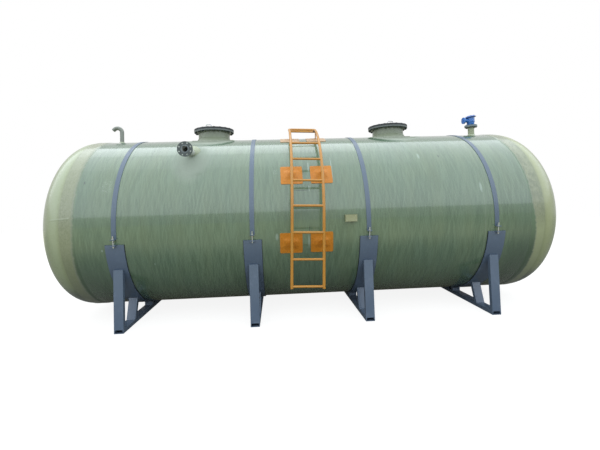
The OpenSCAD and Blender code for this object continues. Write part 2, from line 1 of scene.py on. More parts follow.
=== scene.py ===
# %% [markdown]
# # A fibreglass storage tank on steel saddles
# The real tank is a wound fibreglass tube with two moulded ends, held by steel straps on
# four steel saddles. Fittings stand on its back: two manways, a vent, a breather valve and a
# side nozzle. An orange ladder curves over its front. The solids come from a CAD model that is
# loaded here and never changed. Blender gives them their finishes and adds the small parts:
# bolts, welds, gaskets and edges of laminate.

# %% Load the frame and keep its size
import math

import bmesh
import bpy
from mathutils import Matrix, Vector


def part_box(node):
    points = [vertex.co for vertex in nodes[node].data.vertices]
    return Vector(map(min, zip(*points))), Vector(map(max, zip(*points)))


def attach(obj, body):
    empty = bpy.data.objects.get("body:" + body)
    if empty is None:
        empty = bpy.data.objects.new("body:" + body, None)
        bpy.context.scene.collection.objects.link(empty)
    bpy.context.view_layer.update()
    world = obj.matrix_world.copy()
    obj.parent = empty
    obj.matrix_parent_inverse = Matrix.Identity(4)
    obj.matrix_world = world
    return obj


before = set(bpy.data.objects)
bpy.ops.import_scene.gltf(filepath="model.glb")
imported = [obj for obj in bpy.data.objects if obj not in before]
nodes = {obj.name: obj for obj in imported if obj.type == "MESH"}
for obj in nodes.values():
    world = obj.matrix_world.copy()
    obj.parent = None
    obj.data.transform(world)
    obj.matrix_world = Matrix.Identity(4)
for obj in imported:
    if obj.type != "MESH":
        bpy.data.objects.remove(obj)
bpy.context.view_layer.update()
print(len(nodes), "CAD nodes loaded")

# %% [markdown]
# Every piece is placed from the CAD nodes' own boxes. The tank's axis lies in the middle of
# the shell's box, so most places are given as a distance from that axis.

# %% Find the axis of the tank
shell_low, shell_high = (Vector(corner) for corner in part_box("shell"))
axis_y = (shell_low.y + shell_high.y) / 2
axis_z = (shell_low.z + shell_high.z) / 2
shell_r = (shell_high.z - shell_low.z) / 2
print(f"axis at y {axis_y:.3f}, z {axis_z:.3f}; shell radius {shell_r:.3f}")


# %% Find the middle of a node
def middle_of(name):
    """The middle of a node seen from above, at the height of its top."""
    low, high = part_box(name)
    return Vector(((low[0] + high[0]) / 2, (low[1] + high[1]) / 2, high[2]))


print("manways at x", [round(middle_of(f"{side}_manway_neck").x, 3) for side in ("left", "right")])

# %% [markdown]
# The camera comes first, because it decides how much detail each part needs. A person would
# stand in front of the ladder with a wide lens, close to the tank. The two shifts are small
# and take the place of cropping.

# %% Camera
camera = bpy.data.objects.new("Camera", bpy.data.cameras.new("Camera"))
bpy.context.scene.collection.objects.link(camera)
camera.location = (-0.450, axis_y - 5.567, axis_z + 0.278)
camera.rotation_euler = [math.radians(a) for a in (92.007, 1.783, -2.908)]
camera.data.sensor_width = 36
camera.data.lens = 19.81
camera.data.shift_x = 0.0125
camera.data.shift_y = -0.0636
bpy.context.scene.camera = camera
bpy.context.scene.view_settings.view_transform = "Standard"
print("camera", tuple(round(v, 3) for v in camera.location))

# %% [markdown]
# ## Writing shader maths as expressions
# A surface finish is a small graph of nodes. Written out node by node it is hard to read, so
# one class wraps an output socket and adds the Math node that an expression needs. Python
# calls `__radd__` and its kin when the number stands on the left, as in `1 - mask`.

# %% A value that varies over a surface
class Varying:
    """The output socket of a node, which can be used in sums and products."""

    def __init__(self, graph, socket):
        self.graph, self.socket = graph, socket

    def maths(self, operation, first, second):
        return self.graph.node("Math", {"operation": operation}, {0: first, 1: second})

    def __add__(self, other):
        return self.maths("ADD", self, other)

    def __sub__(self, other):
        return self.maths("SUBTRACT", self, other)

    def __rsub__(self, other):
        return self.maths("SUBTRACT", other, self)

    def __mul__(self, other):
        return self.maths("MULTIPLY", self, other)

    def __truediv__(self, other):
        return self.maths("DIVIDE", self, other)

    __radd__, __rmul__ = __add__, __mul__

    def call(self, operation, other=0.0):
        """Any other operation of a Math node, such as SQRT or MAXIMUM."""
        return self.maths(operation, self, other)


print("a Varying takes + - * / and call")


# %% [markdown]
# A graph fills one tree of nodes. Its `node` method makes any node from its type, its
# settings and what its sockets take, so every pattern below is written in the same way.

# %% A graph of nodes
class Graph:
    """One tree of nodes, and the two methods that fill it."""

    def __init__(self, tree):
        self.tree = tree

    def node(self, kind, settings={}, sockets={}, out=0):
        """Adds a node: its settings first, then the values or links of its sockets."""
        made = self.tree.nodes.new("ShaderNode" + kind)
        for name, value in settings.items():
            setattr(made, name, value)
        for name, value in sockets.items():
            self.feed(made.inputs[name], value)
        return Varying(self, made.outputs[out])

    def feed(self, socket, value):
        """Links a socket to a varying value, or sets it to a plain one."""
        if isinstance(value, Varying):
            self.tree.links.new(value.socket, socket)
        elif socket.type == "RGBA" and len(value) == 3:
            socket.default_value = (*value, 1)
        else:
            socket.default_value = value


print("a Graph makes nodes and links them")


# %% [markdown]
# A finish is the graph of one material. Places are read in Object coordinates, and `x`, `y`
# and `z` count from the tank's axis. A value that is the same all over goes straight onto
# the shader's own socket, and what varies is fed to it when the finish is done.

# %% A finish
class Finish(Graph):
    """The graph of one material, and the patterns that finishes share."""

    def __init__(self, name, **constants):
        self.material = bpy.data.materials.new(name)
        self.material.use_nodes = True
        super().__init__(self.material.node_tree)
        self.shader = self.tree.nodes["Principled BSDF"]
        for word, value in constants.items():
            socket = word.replace("_", " ").title().replace("Ior", "IOR")
            self.shader.inputs[socket].default_value = value
        self.place = self.vectors("SUBTRACT", self.node("TexCoord", out="Object"), (0, axis_y, axis_z))
        split = self.node("SeparateXYZ", {}, {0: self.place})
        self.x, self.y, self.z = (Varying(self, split.socket.node.outputs[i]) for i in range(3))

    def vectors(self, operation, first, second=(0, 0, 0), out=0):
        """Adds a Vector Math node."""
        return self.node("VectorMath", {"operation": operation}, {0: first, 1: second}, out)

    def stretch(self, x, y, z):
        """The place on the piece, scaled by its own factor along each axis."""
        return self.vectors("MULTIPLY", self.place, (x, y, z))

    def vector(self, x, y, z):
        return self.node("CombineXYZ", {}, {0: x, 1: y, 2: z})

    def noise(self, vector, scale=1.0, detail=3.0, rough=0.55, warp=0.0):
        sockets = {"Vector": vector, "Scale": scale, "Detail": detail, "Roughness": rough}
        return self.node("TexNoise", {}, {**sockets, "Distortion": warp})

    def span(self, value, low, high, to_low=0.0, to_high=1.0):
        """A soft step: low becomes to_low, high becomes to_high, and it is smooth between."""
        sockets = {0: value, 1: low, 2: high, 3: to_low, 4: to_high}
        return self.node("MapRange", {"interpolation_type": "SMOOTHSTEP"}, sockets)

    def blend(self, mask, first, second):
        """The first colour where the mask is zero, and the second where it is one."""
        return self.node("Mix", {"data_type": "RGBA"}, {0: mask, 6: first, 7: second}, out=2)

    def bump(self, height, distance, strength, under=None):
        sockets = {"Height": height, "Distance": distance, "Strength": strength}
        if under is not None:
            sockets["Normal"] = under
        return self.node("Bump", {}, sockets)

    def done(self, colour=None, roughness=None, normal=None, **more):
        """Feeds the shader and gives back the material."""
        given = {"Base Color": colour, "Roughness": roughness, "Normal": normal, **more}
        for socket, value in given.items():
            if value is not None:
                self.feed(self.shader.inputs[socket.replace("_", " ")], value)
        return self.material


print("a Finish starts from the place on the tank, counted from its axis")


# %% Put a finish on CAD nodes
def dress(material, *names):
    """Puts one material into every slot of the named CAD nodes."""
    for name in names:
        for slot in nodes[name].material_slots:
            slot.material = material
    print(material.name, "on", *names)


# %% [markdown]
# ## Wound fibreglass
# The shell is made by winding glass rovings on a turning mandrel, nearly square to its axis.
# The resin wets them until they are half clear, but each roving still shows as a fine line
# round the tank. A noise that is squeezed along X and drawn out round the tank gives those
# lines with no seam. Two more sets, leaning a little each way, are the helical layers.
# A clear coat gives the hard shine, and a very shallow bump breaks it up along X.

# %% Rovings under the resin
wound = Finish("wound_glass", roughness=0.26, coat_weight=1.0, coat_roughness=0.085, ior=1.5)
fine = wound.noise(wound.stretch(170, 5, 5), detail=2.0)
wide = wound.noise(wound.stretch(44, 2.4, 2.4), detail=2.0)
broad = wound.noise(wound.stretch(5, 0.8, 0.8), detail=3.0)
lean_left = wound.noise(wound.vector(wound.x * 60 + wound.z * 11, wound.y * 3, wound.z * 3), detail=1.0)
lean_right = wound.noise(wound.vector(wound.x * 60 - wound.z * 11, wound.y * 3, wound.z * 3), detail=1.0)
fibre = (fine + wide + lean_left + lean_right) * 0.25
print("four sets of rovings drawn")

# %% [markdown]
# The glass takes two tones of green, by how deep it lies. Slow drifts of thicker resin and
# of colour are laid over them, so that no two metres of the shell are quite the same.

# %% Tone of the bare winding
cloud = wound.noise(wound.place, 1.3, detail=3.0)
depth = wound.span(fibre, 0.42, 0.58)
tone = wound.blend(depth, (0.080, 0.134, 0.072), (0.129, 0.198, 0.114))
tone = wound.blend(wound.span(broad, 0.4, 0.7) * 0.35, tone, (0.128, 0.178, 0.088))
tone = wound.blend(wound.span(cloud, 0.35, 0.7) * 0.3, tone, (0.086, 0.152, 0.106))
print("winding tone made of", len(wound.tree.nodes), "nodes so far")

# %% [markdown]
# Where the moulded ends are joined on, resin and chopped mat spread over the bare winding
# and fade out in a frayed edge. On the left the fade is wide and on the right it is short.
# Low down, where the shell is hard to reach, the laminate is laid narrower, most of all on
# the right. The shell and the joint bands share this mask, so the edge runs on from one to
# the other.

# %% The frayed edge of the joint laminate
FADE = {"left": (-2.990, -3.050), "right": (3.008, 3.042)}
LAMINATE = (0.225, 0.252, 0.138)
NARROWER, NARROWER_RIGHT, FRAY = 0.035, 0.022, 0.06


def frayed(finish):
    """One where joint laminate covers the winding, zero on the bare shell, frayed between."""
    fray = finish.noise(finish.stretch(5, 16, 16), detail=5.0, rough=0.75) - 0.5
    low_down = finish.span(finish.z, 0.1, -0.7)
    low_right = finish.span(finish.x, 0.0, 0.1) * finish.span(finish.z, 0.12, -0.10)
    inward = finish.x.call("ABSOLUTE") - low_down * NARROWER - low_right * NARROWER_RIGHT
    along = inward * finish.x.call("SIGN") + fray * FRAY
    return finish.span(along, *FADE["left"]).call("MAXIMUM", finish.span(along, *FADE["right"]))


tone = wound.blend(frayed(wound), tone, LAMINATE)
print("edges fade at x", FADE)

# %% [markdown]
# A tank that has been handled shows it: chalk rubbed off to faint crumbs, a drip of pale
# resin, a long scratch from a sling, a few dark specks of dirt in the resin. Each mark is a
# soft ellipse on the unrolled shell: so far along X, so far round from the front's middle
# line, and its two half widths. The chalk is such ellipses broken up by a fine noise.

# %% Marks on the shell
unrolled = wound.vector(wound.x, wound.z.call("ARCTAN2", wound.y * -1) * shell_r, 0.0)


def mark(x, around, half_x, half_around):
    """A soft ellipse on the unrolled shell."""
    away = wound.vectors("SUBTRACT", unrolled, (x, around, 0))
    away = wound.vectors("DIVIDE", away, (half_x, half_around, 1))
    return wound.span(wound.vectors("LENGTH", away, out=1), 1.0, 0.45)


def marks(*ellipses):
    """The strongest of several ellipses."""
    mask = mark(*ellipses[0])
    for ellipse in ellipses[1:]:
        mask = mask.call("MAXIMUM", mark(*ellipse))
    return mask


crumbs = wound.span(wound.noise(wound.place, 95, detail=3.0, rough=0.7), 0.55, 0.63)
chalk = marks((-2.641, 0.515, 0.10, 0.13), (-2.350, -0.925, 0.08, 0.12),
              (-2.266, -1.007, 0.07, 0.10), (-0.449, 0.675, 0.035, 0.06))
resin = marks((0.007, 0.745, 0.016, 0.12), (-0.004, 0.416, 0.014, 0.06), (-0.030, -0.290, 0.016, 0.11),
              (0.328, 0.72, 0.010, 0.24), (1.603, 0.903, 0.020, 0.07), (2.340, 0.36, 0.022, 0.09),
              (-0.448, -0.219, 0.024, 0.06), (-2.042, -0.535, 0.014, 0.014), (-2.674, -0.319, 0.012, 0.02))
# The last of these is a long thin dark line across the shell below the ladder's lower pads.
specks = marks((-2.934, 0.583, 0.013, 0.032), (-2.418, 1.015, 0.012, 0.012), (1.893, 0.893, 0.014, 0.04),
               (-0.021, -0.128, 0.007, 0.05), (-0.112, 0.388, 0.16, 0.007))
scratch = mark(2.355, -0.30, 0.010, 0.95)
print("chalk, resin, specks and one scratch;", len(wound.tree.nodes), "nodes so far")

# %% [markdown]
# The same ellipses, made much wider, are the patches of mat that were laid by hand round the side nozzle, the
# manways and the valve's nozzle. They are pale and matte, where the clear coat stops at their edge; round the
# side nozzle the pale tone is partly a painted highlight, standing in for the shine of the lost coat. High on
# the crown the mat turns darker again, a painted dark reflection.

# %% Mat round the fittings
crown = shell_r * math.pi / 2
# The side nozzle's mat is partly a painted highlight: its pale tone stands in for the coat's shine.
nozzle_mat_and_highlight = mark(-1.60, 0.93, 0.30, 0.46)
left_x, right_x, valve_x = (middle_of(f"{fitting}_neck").x
                            for fitting in ("left_manway", "right_manway", "valve_nozzle"))
crown_mat = marks((left_x, crown, 0.56, 0.70), (right_x, crown, 0.56, 0.70), (valve_x, crown, 0.15, 0.24))
crown_mat = wound.span(crown_mat, 0.0, 0.35)
mat = nozzle_mat_and_highlight.call("MAXIMUM", crown_mat)
print("mat round the fittings at x", [round(x, 3) for x in (left_x, right_x, valve_x)])

# %% [markdown]
# Now the layers go over each other, from the widest to the smallest: painted shade low down near both ends, a
# darker and greener crown that is a painted dark reflection, the mat, and at last the marks. The matte mat
# loses the coat, and everything else keeps it.

# %% Finish the shell
# LOW_SHADE is painted shade, laid low down near both ends and on the bare shell under the joints.
LOW_SHADE = (0.045, 0.070, 0.036)
end_shade = wound.span(wound.x.call("ABSOLUTE"), 2.35, 2.95) * wound.span(wound.z, -0.1, -0.8)
right_shade = wound.span(wound.x, 2.55, 2.85) * wound.span(wound.z, 0.1, -0.2)
for mask, colour in [(end_shade * 0.45 + right_shade * 0.2, LOW_SHADE),
                     # A darker, greener band high on the crown: a painted dark reflection.
                     (wound.span(wound.z, 1.04, 1.12) * 0.45, (0.030, 0.100, 0.050)),
                     # The pale nozzle mat, partly a painted highlight.
                     (nozzle_mat_and_highlight * 0.85, (0.300, 0.345, 0.285)),
                     (crown_mat * 0.9, (0.360, 0.395, 0.330)),
                     # The mat darker still near the top of the crown: a painted dark reflection.
                     (crown_mat * wound.span(wound.z, 1.12, 1.19) * 0.6, (0.140, 0.165, 0.115)),
                     (chalk * crumbs * 0.6, (0.42, 0.50, 0.42)),
                     (resin * 0.32, (0.46, 0.58, 0.50)),
                     (scratch * 0.13, (0.36, 0.44, 0.34)),
                     (specks * 0.75, (0.02, 0.035, 0.03))]:
    tone = wound.blend(mask, tone, colour)
ripple = wound.bump(wide * 0.3 + broad * 2.2 + fine * 0.1, 0.0006, 0.5)
dull = wound.span(fibre, 0.38, 0.62, 0.30, 0.22) + mat * 0.65
dress(wound.done(tone, dull, ripple, Coat_Weight=1 - mat), "shell")
print("wound fibreglass has", len(wound.tree.nodes), "nodes")

# %% [markdown]
# ## Moulded ends and laminates
# The dished ends are laid up by hand in a mould from chopped mat, so they have no lines but
# a fine tangle of short fibres, and the resin shows yellower. Each ring of mat is a little
# different, so the tone also drifts in broad hoops. The necks and the fillets at their feet
# are wrapped by hand in the same way. A finish that several parts share is made by one
# function, and anything special is passed in as a last step.

# %% Hand-laid fibreglass
def hand_laid(name, dark, light, grain, roughness, coat, extra=None, under=None):
    """Chopped mat in resin, between a dark and a light tone."""
    laid = Finish(name, roughness=roughness, coat_weight=coat, coat_roughness=0.16)
    strands = laid.noise(laid.place, grain, detail=5.0, rough=0.7, warp=1.5)
    patches = laid.noise(laid.place, 2.3, detail=2.0)
    hoops = laid.noise(laid.stretch(11, 0.9, 0.9), detail=2.0)
    colour = laid.blend(laid.span(strands, 0.35, 0.65), dark, light)
    colour = laid.blend(laid.span(patches, 0.4, 0.7) * 0.3, colour, dark)
    colour = laid.blend(laid.span(hoops, 0.45, 0.65) * 0.35, colour, light)
    if extra:
        colour = extra(laid, colour, strands)
    dents = laid.bump(strands, 0.0008, 0.6, under and under(laid))
    return laid.done(colour, laid.span(strands, 0.3, 0.7, roughness + 0.08, roughness - 0.05), dents)


dress(hand_laid("collar_laminate", (0.290, 0.340, 0.225), (0.390, 0.435, 0.310), 60, 0.5, 0.05),
      "nozzle_collars")
dress(hand_laid("nozzle_neck", (0.150, 0.182, 0.118), (0.205, 0.240, 0.160), 45, 0.32, 0.3),
      "left_manway_neck", "right_manway_neck")
dress(hand_laid("valve_nozzle", (0.230, 0.268, 0.150), (0.275, 0.312, 0.188), 45, 0.32, 0.3),
      "valve_nozzle_neck")
# The side nozzle's neck is pale: partly a painted highlight, as bright as the lit shell round it.
dress(hand_laid("pale_neck", (0.420, 0.440, 0.400), (0.540, 0.560, 0.510), 45, 0.5, 0.1),
      "side_nozzle_neck")
dress(hand_laid("vent_pipe", (0.150, 0.170, 0.140), (0.215, 0.235, 0.195), 60, 0.36, 0.3),
      "vent_gooseneck")
dress(hand_laid("plate_bracket", (0.205, 0.225, 0.115), (0.300, 0.315, 0.170), 45, 0.32, 0.3),
      "nameplate_bracket")


# %% Laminate pads of the manways
def foot_of_neck(laid, colour, strands):
    """The fillet is as dark as the neck above it; the mat it lies on is pale."""
    return laid.blend(laid.span(laid.z, 1.236, 1.262) * 0.85, colour, (0.180, 0.212, 0.138))


dress(hand_laid("fitting_laminate", (0.215, 0.248, 0.185), (0.300, 0.330, 0.255), 60, 0.5, 0.1, foot_of_neck),
      "manway_pads")

# %% [markdown]
# The left end was moulded in two halves, and a thin line is left where they met. It starts on the joint and
# runs out over the end, falling a little. Painted shade darkens the underside of both ends and joints.

# %% Parting line and painted shade underneath
PARTING_X, PARTING_Z, PARTING_SLOPE = -3.3, 0.100, 0.065
UNDER_SHADE = (0.080, 0.100, 0.060)


def parting_line(laid, colour):
    """A thin pale line with a dark one under it, where the two halves of the mould met."""
    height = laid.z - PARTING_Z - (laid.x - PARTING_X) * PARTING_SLOPE
    reach = laid.span(laid.x, -3.34, -3.27) * laid.span(laid.x, -3.04, -3.07)
    pale = laid.span(height.call("ABSOLUTE"), 0.013, 0.004) * reach
    dark = laid.span((height + 0.017).call("ABSOLUTE"), 0.010, 0.004) * reach
    colour = laid.blend(pale * 0.35, colour, (0.44, 0.49, 0.35))
    return laid.blend(dark * 0.25, colour, (0.10, 0.14, 0.07))


def underside_shade(laid, colour, strength):
    """Painted shade: darkens what lies well below the axis."""
    return laid.blend(laid.span(laid.z, -0.55, -1.15) * strength, colour, UNDER_SHADE)


print(f"parting line {PARTING_Z} m above the axis at x {PARTING_X}")

# %% [markdown]
# At the pole of each end the mesh's triangles meet in one point, and their shading there
# isn't smooth. The end is nearly a sphere at that place, so the direction it faces is known:
# outwards along X, plus how far the point lies from the axis in crown radii.

# %% Shading at the pole of an end
CROWN_R = 2.850


def crown_normal(laid):
    """The way a dished end faces near its pole; the mesh's own normal elsewhere."""
    outward = laid.vector(laid.x.call("SIGN"), laid.y / CROWN_R, laid.z / CROWN_R)
    faces = laid.vectors("NORMALIZE", outward)
    near = laid.span((laid.y * laid.y + laid.z * laid.z).call("SQRT"), 0.100, 0.074)
    own = laid.node("NewGeometry", out="Normal")
    return laid.node("Mix", {"data_type": "VECTOR"}, {0: near, 4: own, 5: faces}, out=1)


print("crown radius", CROWN_R)

# %% [markdown]
# Each end has a darker hoop of painted shade and a pale hoop of painted highlight next to its joint, a greyer
# crown beyond, a yellower lower half and an underside darkened by painted shade. The strands shift the hoops'
# edges a little, so none of them is a ruled line.

# %% Hoops on the moulded ends
def mould_hoops(pale):
    """The end's tones with its painted shade and highlight, from its joint to its crown and from its middle
    to its underside.
    """
    def tint(laid, colour, strands):
        out = laid.x.call("ABSOLUTE") + (strands - 0.5) * 0.03
        highlight_hoop = laid.span(out, 3.170, 3.240) * laid.span(out, 3.38, 3.26)
        # Painted shade in a hoop by the joint, then a pale hoop of painted highlight.
        colour = laid.blend(laid.span(out, 3.225, 3.17) * 0.5, colour, (0.215, 0.240, 0.145))
        colour = laid.blend(highlight_hoop * 0.45, colour, pale)
        colour = laid.blend(laid.span(out, 3.30, 3.44) * 0.3, colour, (0.225, 0.255, 0.190))
        colour = laid.blend(laid.span(laid.z, 0.0, -0.8) * 0.35, colour, (0.255, 0.300, 0.125))
        colour = underside_shade(laid, colour, 0.45)
        # Painted shade, darkest on the very underside.
        colour = laid.blend(laid.span(laid.z, -0.80, -1.00) * 0.7, colour, (0.050, 0.066, 0.050))
        return parting_line(laid, colour)
    return tint


dress(hand_laid("left_moulded_end", (0.228, 0.264, 0.132), (0.310, 0.350, 0.198), 34, 0.30, 0.45,
                mould_hoops((0.360, 0.420, 0.275)), crown_normal), "left_dome")
dress(hand_laid("right_moulded_end", (0.230, 0.262, 0.125), (0.315, 0.348, 0.190), 34, 0.30, 0.45,
                mould_hoops((0.370, 0.400, 0.215)), crown_normal), "right_dome")

# %% [markdown]
# The joint bands are wrapped in coarse mat. It shows as pale flecks, and on the upper right also as dark
# clots of resin. A pale lip runs along the frayed edge, and what the laminate leaves bare has the shell's own
# tone. Low down, painted shade darkens both the bare shell and the laminate.

# %% Laminate over the joints
def joint_edges(laid, colour, strands):
    """Shell tone up to the frayed edge, a pale lip along it, and coarse mat beyond."""
    cover = frayed(laid)
    lip = laid.span(cover, 0.05, 0.5) * laid.span(cover, 1.0, 0.6)
    coarse = laid.span(laid.noise(laid.stretch(60, 30, 30), detail=3.0, warp=1.0), 0.42, 0.58)
    clots = laid.span(laid.noise(laid.stretch(26, 11, 11), detail=4.0, rough=0.7), 0.44, 0.60)
    right = laid.span(laid.x, 0.0, 0.1)
    upper_right = right * laid.span(laid.z, -0.15, 0.35)
    lower_right = right * laid.span(laid.z, 0.0, -0.3)
    colour = laid.blend(coarse * 0.45, colour, (0.300, 0.325, 0.215))
    colour = laid.blend(clots * upper_right * 0.75, colour, (0.130, 0.158, 0.092))
    colour = laid.blend(laid.span(laid.x, 3.10, 3.17) * upper_right * 0.35, colour, (0.165, 0.200, 0.100))
    colour = laid.blend(laid.span(laid.z, 0.1, -0.6) * 0.5, colour, (0.192, 0.220, 0.104))
    colour = laid.blend(lower_right * 0.6, colour, (0.36, 0.40, 0.21))
    colour = underside_shade(laid, colour, 0.35)
    colour = laid.blend(lip * 0.4, parting_line(laid, colour), (0.36, 0.36, 0.29))
    # Low down the bare shell is darkened by painted shade.
    bare = laid.blend(laid.span(laid.z, 0.0, -0.6) * 0.6, (0.104, 0.168, 0.094), LOW_SHADE)
    return laid.blend(cover, bare, colour)


joint_laminate = hand_laid("joint_laminate", (0.175, 0.202, 0.112), (0.240, 0.268, 0.158), 60, 0.32, 0.7,
                           joint_edges)
dress(joint_laminate, "left_joint_band", "right_joint_band")

# %% [markdown]
# ## Paint on steel
# The saddles and straps have one coat of blue-grey paint over hot-rolled steel. It is even
# from afar, but close by it shows a faint orange peel, some dust and paler rubbed places.
# Flanges, covers and the valve share the same build with other colours.

# %% Painted steel
def painted(name, colour, dusty, roughness, coat, peel=220, waves=0.0, extra=None):
    """Paint with a faint orange peel, between a clean and a dusty tone."""
    paint = Finish(name, roughness=roughness, coat_weight=coat, coat_roughness=0.2)
    skin = paint.noise(paint.place, peel, detail=2.0)
    rubs = paint.noise(paint.place, 6.5, detail=5.0, rough=0.65)
    body = paint.blend(paint.span(rubs, 0.52, 0.72) * 0.45, colour, dusty)
    if extra:
        body = extra(paint, body)
    if waves:
        skin = skin + paint.noise(paint.place, 17, detail=2.0) * waves
    return paint.done(body, paint.span(rubs, 0.3, 0.7, roughness - 0.06, roughness + 0.14),
                      paint.bump(skin, 0.0004, 0.35))


def numbered(*parts):
    """The names of parts that come once at each of the four saddles."""
    return [f"{part}_{i}" for part in parts for i in (1, 2, 3, 4)]


dress(painted("saddle_paint", (0.094, 0.132, 0.188), (0.148, 0.190, 0.250), 0.36, 0.3),
      *numbered("cradle", "base_channel", "saddle_legs"))
dress(painted("strap_paint", (0.088, 0.126, 0.172), (0.128, 0.170, 0.215), 0.38, 0.25),
      *numbered("strap"))

# %% [markdown]
# The ladder is painted orange. Its pads are laminated to the tank with orange resin over coarse cloth, so
# they are wavier than paint, and those that lie high on the tank's back are paler.

# %% Orange of the ladder and its pads
orange_paint = painted("ladder_paint", (0.45, 0.196, 0.016), (0.51, 0.27, 0.045), 0.36, 0.3)
dress(orange_paint, "ladder_stiles", "ladder_rungs", "ladder_arms")


def paler_high_up(paint, body):
    """A paler tone on the pads that lie high on the tank's back."""
    return paint.blend(paint.span(paint.z, 0.95, 1.12) * 0.8, body, (0.44, 0.335, 0.215))


orange_laminate = painted("orange_laminate", (0.54, 0.190, 0.004), (0.58, 0.235, 0.012), 0.45, 0.06,
                          peel=90, waves=45, extra=paler_high_up)
dress(orange_laminate, "ladder_pads")

# %% Flanges, covers, fasteners and liners
dress(painted("flange_resin", (0.095, 0.115, 0.105), (0.140, 0.160, 0.148), 0.45, 0.2),
      "left_manway_flange", "right_manway_flange")
dress(painted("small_flange", (0.130, 0.165, 0.165), (0.190, 0.225, 0.220), 0.45, 0.2),
      "valve_nozzle_flange")
dress(painted("cover_paint", (0.018, 0.023, 0.025), (0.034, 0.040, 0.042), 0.58, 0.0),
      "left_manway_cover", "right_manway_cover")
dark_steel = painted("dark_fasteners", (0.040, 0.050, 0.050), (0.075, 0.090, 0.090), 0.5, 0.0)
rubber = painted("liner_rubber", (0.014, 0.014, 0.015), (0.03, 0.03, 0.03), 0.75, 0.0, peel=150)
dress(rubber, "cradle_liners")

# %% [markdown]
# Two painted pieces don't have one tone all over. The side nozzle's flange has pale walls in its bolt holes,
# painted light that stands in for the lit shell seen through them: folding the angle round the bore by an
# eighth of a turn makes one mask serve all eight holes. The valve's foot was left in a teal primer, and the
# blue enamel starts just above it.

# %% Side nozzle flange
nozzle_low, nozzle_high = (Vector(corner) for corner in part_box("side_nozzle_flange"))
nozzle_middle = (nozzle_low + nozzle_high) / 2
HOLE_RING, HOLE_COUNT, HOLE_R = 0.080, 8, 0.009


def lit_hole_walls(paint, body):
    """Painted light: pale walls in the bolt holes of the side nozzle's flange."""
    across, up = paint.x - nozzle_middle.x, paint.z - (nozzle_middle.z - axis_z)
    slice_angle = 2 * math.pi / HOLE_COUNT
    turn = up.call("ARCTAN2", across)
    folded = paint.node("Math", {"operation": "WRAP"}, {0: turn, 1: slice_angle, 2: 0.0}) - slice_angle / 2
    reach = (across * across + up * up).call("SQRT")
    beside, along = reach * folded.call("SINE"), reach * folded.call("COSINE") - HOLE_RING
    away = (beside * beside + along * along).call("SQRT")
    return paint.blend(paint.span(away, HOLE_R + 0.0012, HOLE_R + 0.0004), body, (0.62, 0.66, 0.62))


dress(painted("nozzle_flange_paint", (0.050, 0.066, 0.062), (0.090, 0.112, 0.106), 0.45, 0.1,
              extra=lit_hole_walls), "side_nozzle_flange")
ring_paint = painted("ring_resin", (0.115, 0.145, 0.150), (0.165, 0.195, 0.195), 0.40, 0.2)

# %% Blue enamel of the valve
FOOT_H = 0.0145
foot_top = middle_of("valve_nozzle_flange").z - axis_z + FOOT_H


def primed_foot(paint, body):
    """Teal primer up to the top of the valve's foot."""
    return paint.blend(paint.span(paint.z, foot_top, foot_top + 0.004), (0.085, 0.130, 0.150), body)


enamel = painted("valve_enamel", (0.020, 0.142, 0.45), (0.042, 0.205, 0.54), 0.32, 0.4,
                 peel=120, extra=primed_foot)
dress(enamel, "valve_body", "valve_side_port")
dress(painted("lid_enamel", (0.018, 0.095, 0.33), (0.03, 0.14, 0.42), 0.34, 0.3, peel=120), "valve_lid")
print("the valve's foot ends", round(foot_top, 3), "m above the axis")

# %% [markdown]
# The handles and the straps' hook bolts are dipped in zinc, which freezes in small crystals.
# A Voronoi pattern gives each crystal its own tint.

# %% Galvanised steel
zinc = Finish("galvanised_steel", metallic=0.85, roughness=0.42)
spangle = zinc.node("TexVoronoi", {}, {"Vector": zinc.place, "Scale": 160.0}, out="Color")
grey = zinc.blend(0.16, (0.50, 0.52, 0.50), spangle)
zinc_material = zinc.done(grey, zinc.span(zinc.noise(zinc.place, 90), 0.3, 0.7, 0.36, 0.5))
dress(zinc_material, "manway_handles", "strap_bolts")

# %% [markdown]
# ## Tools for the small parts
# Every small part starts as a primitive in an empty mesh and is shaped in edit mode. The
# helpers below are the few moves that come back: open a mesh, keep part of a selection, add
# a chamfered rod, and spin a ring. A shape that repeats is modelled once at the origin and
# then copied to each place with a mesh of its own.

# %% Open a mesh and narrow a selection
def begin(name):
    """Opens an empty mesh in edit mode, with nothing else selected."""
    bpy.ops.object.select_all(action="DESELECT")
    piece = bpy.data.objects.new(name, bpy.data.meshes.new(name))
    bpy.context.scene.collection.objects.link(piece)
    bpy.context.view_layer.objects.active = piece
    piece.select_set(True)
    bpy.ops.object.mode_set(mode="EDIT")
    return piece


def narrow(test, kind="FACE"):
    """Keeps the selected faces or points that pass a test, and drops the others."""
    bpy.ops.mesh.select_mode(type=kind)
    mesh = bmesh.from_edit_mesh(bpy.context.object.data)
    parts = {"FACE": mesh.faces, "VERT": mesh.verts}[kind]
    kept = [part for part in parts if part.select and test(part)]
    bpy.ops.mesh.select_all(action="DESELECT")
    for part in kept:
        part.select_set(True)
    bmesh.update_edit_mesh(bpy.context.object.data)


print("helpers: begin a mesh, narrow a selection")


# %% Add a rod and spin a ring
BEAD_SIDES = 8


def rod(radius, low, high, sides=24, chamfer=0.0):
    """Adds a rod, or a hexagon, that stands on Z and may have both rims chamfered."""
    bpy.ops.mesh.primitive_cylinder_add(vertices=sides, radius=radius, depth=high - low,
                                        location=(0, 0, (low + high) / 2))
    if chamfer:
        narrow(lambda face: abs(face.normal.z) > 0.9)
        bpy.ops.mesh.bevel(offset=chamfer, affect="EDGES")


